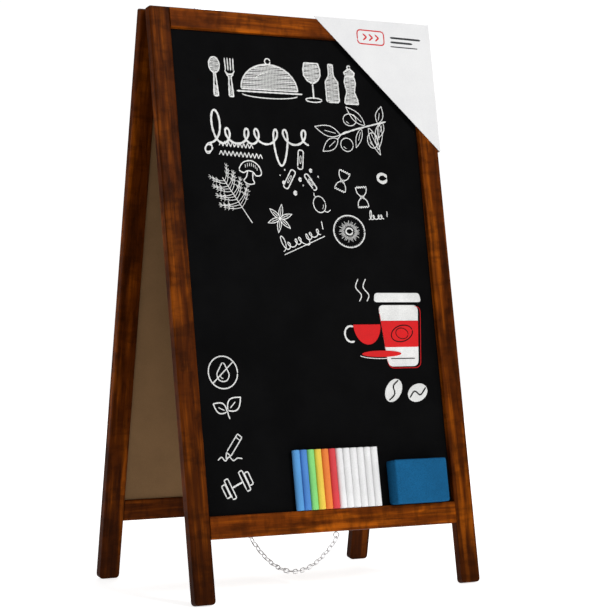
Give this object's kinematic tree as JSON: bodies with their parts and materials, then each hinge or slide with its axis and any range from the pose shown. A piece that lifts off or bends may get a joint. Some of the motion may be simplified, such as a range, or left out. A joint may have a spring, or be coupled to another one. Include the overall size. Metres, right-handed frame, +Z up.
{
  "type": "sandwich board",
  "caption": "Folding A-frame sandwich board with stained wooden frames, black chalkboard panels, top hinges and a slack spreader chain, with sticks of chalk and a sponge on its lower rail.",
  "frame": {"origin": "on the ground, midway between the four feet", "axes": "+Z up; X runs across the board, +X towards the corner with the card sleeve; the front face looks along -Y"},
  "size_m": [0.443, 0.3082, 0.7845],
  "materials": {
    "stained_wood": "dark brown stain under a satin varnish",
    "chalkboard": "matte black chalk paint on thin hardboard, bare brown behind",
    "zinc_steel": "bright zinc plating",
    "card": "smooth white card",
    "chalk": "pressed chalk, dusty and matte",
    "sponge_foam": "fine-pored blue foam"
  },
  "bodies": {
    "front_frame": {"front_left_stile": "stained_wood", "front_right_stile": "stained_wood", "front_top_rail": "stained_wood", "front_bottom_rail": "stained_wood", "front_chalkboard_panel": "chalkboard", "left_hinge_front_leaf": "zinc_steel", "right_hinge_front_leaf": "zinc_steel", "left_hinge_front_screw_1": "zinc_steel", "left_hinge_front_screw_2": "zinc_steel", "right_hinge_front_screw_1": "zinc_steel", "right_hinge_front_screw_2": "zinc_steel", "left_hinge_pin": "zinc_steel", "right_hinge_pin": "zinc_steel", "front_chain_eye": "zinc_steel"},
    "rear_frame": {"rear_left_stile": "stained_wood", "rear_right_stile": "stained_wood", "rear_top_rail": "stained_wood", "rear_bottom_rail": "stained_wood", "rear_chalkboard_panel": "chalkboard", "left_hinge_rear_leaf": "zinc_steel", "right_hinge_rear_leaf": "zinc_steel", "left_hinge_rear_screw_1": "zinc_steel", "left_hinge_rear_screw_2": "zinc_steel", "right_hinge_rear_screw_1": "zinc_steel", "right_hinge_rear_screw_2": "zinc_steel", "rear_chain_eye": "zinc_steel"},
    "corner_sleeve": {"corner_sleeve": "card"},
    "chalk_row": {"chalk_row": "chalk"},
    "board_sponge": {"board_sponge": "sponge_foam"},
    "front_chain_top": {"chain_link_01": "zinc_steel", "chain_link_02": "zinc_steel", "chain_link_03": "zinc_steel", "chain_link_04": "zinc_steel"},
    "front_chain_middle": {"chain_link_05": "zinc_steel", "chain_link_06": "zinc_steel", "chain_link_07": "zinc_steel", "chain_link_08": "zinc_steel", "chain_link_09": "zinc_steel"},
    "front_chain_end": {"chain_link_10": "zinc_steel", "chain_link_11": "zinc_steel", "chain_link_12": "zinc_steel", "chain_link_13": "zinc_steel", "chain_link_14": "zinc_steel", "chain_link_15": "zinc_steel"},
    "rear_chain_end": {"chain_link_16": "zinc_steel", "chain_link_17": "zinc_steel", "chain_link_18": "zinc_steel", "chain_link_19": "zinc_steel", "chain_link_20": "zinc_steel"},
    "rear_chain_middle": {"chain_link_21": "zinc_steel", "chain_link_22": "zinc_steel", "chain_link_23": "zinc_steel", "chain_link_24": "zinc_steel", "chain_link_25": "zinc_steel"},
    "rear_chain_top": {"chain_link_26": "zinc_steel", "chain_link_27": "zinc_steel", "chain_link_28": "zinc_steel", "chain_link_29": "zinc_steel"}
  },
  "joints": [
    {"name": "fold", "type": "hinge", "parent": "front_frame", "child": "rear_frame", "pos_m": [0, 0, 0.77917], "axis": [1, 0, 0], "range_deg": [-19.8, 0]},
    {"name": "sleeve_slide", "type": "slide", "parent": "front_frame", "child": "corner_sleeve", "axis": [1, 0, 0], "range_m": [0, 0.2]},
    {"name": "chalk_lift", "type": "slide", "parent": "front_frame", "child": "chalk_row", "axis": [0, -0.9851, 0.1719], "range_m": [0, 0.15]},
    {"name": "sponge_lift", "type": "slide", "parent": "front_frame", "child": "board_sponge", "axis": [0, -0.9851, 0.1719], "range_m": [0, 0.15]},
    {"name": "front_eye_turn", "type": "hinge", "parent": "front_frame", "child": "front_chain_top", "pos_m": [0, -0.13489, 0.0732], "axis": [1, 0, 0], "range_deg": [-133.6, 0]},
    {"name": "front_chain_bend_1", "type": "hinge", "parent": "front_chain_top", "child": "front_chain_middle", "pos_m": [0, -0.10326, 0.04763], "axis": [1, 0, 0], "range_deg": [0, 56.2]},
    {"name": "front_chain_bend_2", "type": "hinge", "parent": "front_chain_middle", "child": "front_chain_end", "pos_m": [0, -0.05978, 0.02463], "axis": [1, 0, 0], "range_deg": [0, 64.9]},
    {"name": "rear_eye_turn", "type": "hinge", "parent": "rear_frame", "child": "rear_chain_top", "pos_m": [0, 0.13489, 0.0732], "axis": [1, 0, 0], "range_deg": [0, 133.6]},
    {"name": "rear_chain_bend_1", "type": "hinge", "parent": "rear_chain_top", "child": "rear_chain_middle", "pos_m": [0, 0.10326, 0.04763], "axis": [1, 0, 0], "range_deg": [-56.2, 0]},
    {"name": "rear_chain_bend_2", "type": "hinge", "parent": "rear_chain_middle", "child": "rear_chain_end", "pos_m": [0, 0.05978, 0.02463], "axis": [1, 0, 0], "range_deg": [-64.9, 0]}
  ],
  "couplings": [
    {"joint": "front_eye_turn", "follows": "fold", "ratio": 6.74},
    {"joint": "front_chain_bend_1", "follows": "fold", "ratio": -2.83},
    {"joint": "front_chain_bend_2", "follows": "fold", "ratio": -3.27},
    {"joint": "rear_eye_turn", "follows": "fold", "ratio": -6.74},
    {"joint": "rear_chain_bend_1", "follows": "fold", "ratio": 2.83},
    {"joint": "rear_chain_bend_2", "follows": "fold", "ratio": 3.27}
  ]
}
